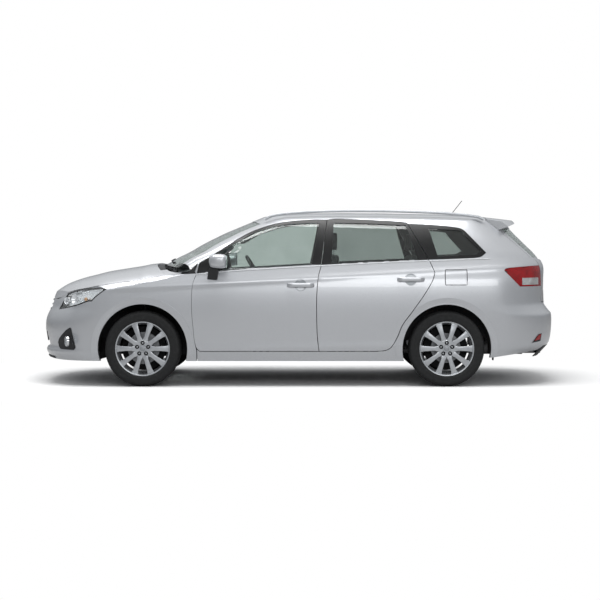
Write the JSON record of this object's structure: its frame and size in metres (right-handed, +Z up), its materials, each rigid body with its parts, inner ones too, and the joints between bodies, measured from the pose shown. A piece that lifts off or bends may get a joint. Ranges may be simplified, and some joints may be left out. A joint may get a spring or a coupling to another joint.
{
  "type": "five-door station wagon",
  "caption": "Silver five-door station wagon with roof rails, alloy wheels, opening doors, bonnet and tailgate, steered front wheels and a hollow cabin.",
  "frame": {"origin": "on the ground, half-way along the car, on its centreline", "axes": "+X rearward along the car, +Y to the car's right, +Z up"},
  "size_m": [4.5493, 2.0596, 1.6178],
  "materials": {
    "paint": "silver metallic paint",
    "alloy": "cast and painted",
    "rubber": "tyre rubber",
    "glass": "tinted glass",
    "lens": "clear lens",
    "red_lens": "red lens",
    "trim": "grained black plastic",
    "cabin": "grained grey plastic",
    "cloth": "woven seat cloth",
    "steel": "black coated steel",
    "iron": "cast and machined",
    "exhaust": "bare steel tube"
  },
  "bodies": {
    "car_body": {"floor_pan": "steel", "side_panel_left": "paint", "side_panel_right": "paint", "roof_panel": "paint", "front_fenders": "paint", "cowl_panel": "trim", "front_bumper": "paint", "rear_bumper": "paint", "grille": "trim", "lower_intake": "trim", "headlamps": "lens", "tail_lamps": "red_lens", "windscreen": "glass", "quarter_glass": "glass", "roof_rails": "alloy", "wipers": "trim", "aerial": "trim", "dashboard": "cabin", "front_seats": "cloth", "rear_bench": "cloth", "engine_block": "iron", "exhaust": "exhaust", "rear_axle_beam": "steel", "front_subframe": "steel", "mud_flaps": "trim"},
    "bonnet": {"bonnet": "paint"},
    "front_door_left": {"front_door_left": "paint", "front_door_glass_left": "glass", "door_mirror_left": "paint"},
    "front_door_right": {"front_door_right": "paint", "front_door_glass_right": "glass", "door_mirror_right": "paint"},
    "rear_door_left": {"rear_door_left": "paint", "rear_door_glass_left": "glass"},
    "rear_door_right": {"rear_door_right": "paint", "rear_door_glass_right": "glass"},
    "tailgate": {"tailgate": "paint", "tailgate_glass": "glass"},
    "fuel_flap": {"fuel_flap": "paint"},
    "steering_wheel": {"steering_wheel": "cabin"},
    "knuckle_left": {"knuckle_left": "iron"},
    "knuckle_right": {"knuckle_right": "iron"},
    "wheel_front_left": {"rim_front_left": "alloy", "tyre_front_left": "rubber"},
    "wheel_front_right": {"rim_front_right": "alloy", "tyre_front_right": "rubber"},
    "wheel_rear_left": {"rim_rear_left": "alloy", "tyre_rear_left": "rubber"},
    "wheel_rear_right": {"rim_rear_right": "alloy", "tyre_rear_right": "rubber"}
  },
  "joints": [
    {"name": "bonnet_hinge", "type": "hinge", "parent": "car_body", "child": "bonnet", "pos_m": [-1.148, 0, 1.058], "axis": [0, 1, 0], "range_deg": [0, 52]},
    {"name": "tailgate_hinge", "type": "hinge", "parent": "car_body", "child": "tailgate", "pos_m": [1.642, 0, 1.47], "axis": [0, -1, 0], "range_deg": [0, 80]},
    {"name": "fuel_flap_hinge", "type": "hinge", "parent": "car_body", "child": "fuel_flap", "pos_m": [1.2768, -0.83739, 0.93366], "axis": [0, -0.2396, -0.9709], "range_deg": [0, 90]},
    {"name": "steering_wheel_turn", "type": "hinge", "parent": "car_body", "child": "steering_wheel", "pos_m": [-0.368, -0.35, 0.9586], "axis": [0.8572, 0, 0.515], "range_deg": [-460, 460]},
    {"name": "steer_left", "type": "hinge", "parent": "car_body", "child": "knuckle_left", "pos_m": [-1.33, -0.6, 0.3235], "axis": [0, 0, 1], "range_deg": [-32, 32]},
    {"name": "steer_right", "type": "hinge", "parent": "car_body", "child": "knuckle_right", "pos_m": [-1.33, 0.6, 0.3235], "axis": [0, 0, 1], "range_deg": [-32, 32]},
    {"name": "front_door_left_hinge", "type": "hinge", "parent": "car_body", "child": "front_door_left", "pos_m": [-0.911, -0.876, 0.62], "axis": [0, 0, -1], "range_deg": [0, 65]},
    {"name": "rear_door_left_hinge", "type": "hinge", "parent": "car_body", "child": "rear_door_left", "pos_m": [0.157, -0.876, 0.62], "axis": [0, 0, -1], "range_deg": [0, 65]},
    {"name": "front_door_right_hinge", "type": "hinge", "parent": "car_body", "child": "front_door_right", "pos_m": [-0.911, 0.876, 0.62], "axis": [0, 0, 1], "range_deg": [0, 65]},
    {"name": "rear_door_right_hinge", "type": "hinge", "parent": "car_body", "child": "rear_door_right", "pos_m": [0.157, 0.876, 0.62], "axis": [0, 0, 1], "range_deg": [0, 65]},
    {"name": "wheel_front_left_spin", "type": "hinge", "parent": "knuckle_left", "child": "wheel_front_left", "pos_m": [-1.33, -0.748, 0.3235], "axis": [0, 1, 0], "continuous": true},
    {"name": "wheel_front_right_spin", "type": "hinge", "parent": "knuckle_right", "child": "wheel_front_right", "pos_m": [-1.33, 0.748, 0.3235], "axis": [0, 1, 0], "continuous": true},
    {"name": "wheel_rear_left_spin", "type": "hinge", "parent": "car_body", "child": "wheel_rear_left", "pos_m": [1.27, -0.748, 0.3235], "axis": [0, 1, 0], "continuous": true},
    {"name": "wheel_rear_right_spin", "type": "hinge", "parent": "car_body", "child": "wheel_rear_right", "pos_m": [1.27, 0.748, 0.3235], "axis": [0, 1, 0], "continuous": true}
  ],
  "couplings": [
    {"joint": "steer_right", "follows": "steer_left", "ratio": 1}
  ]
}
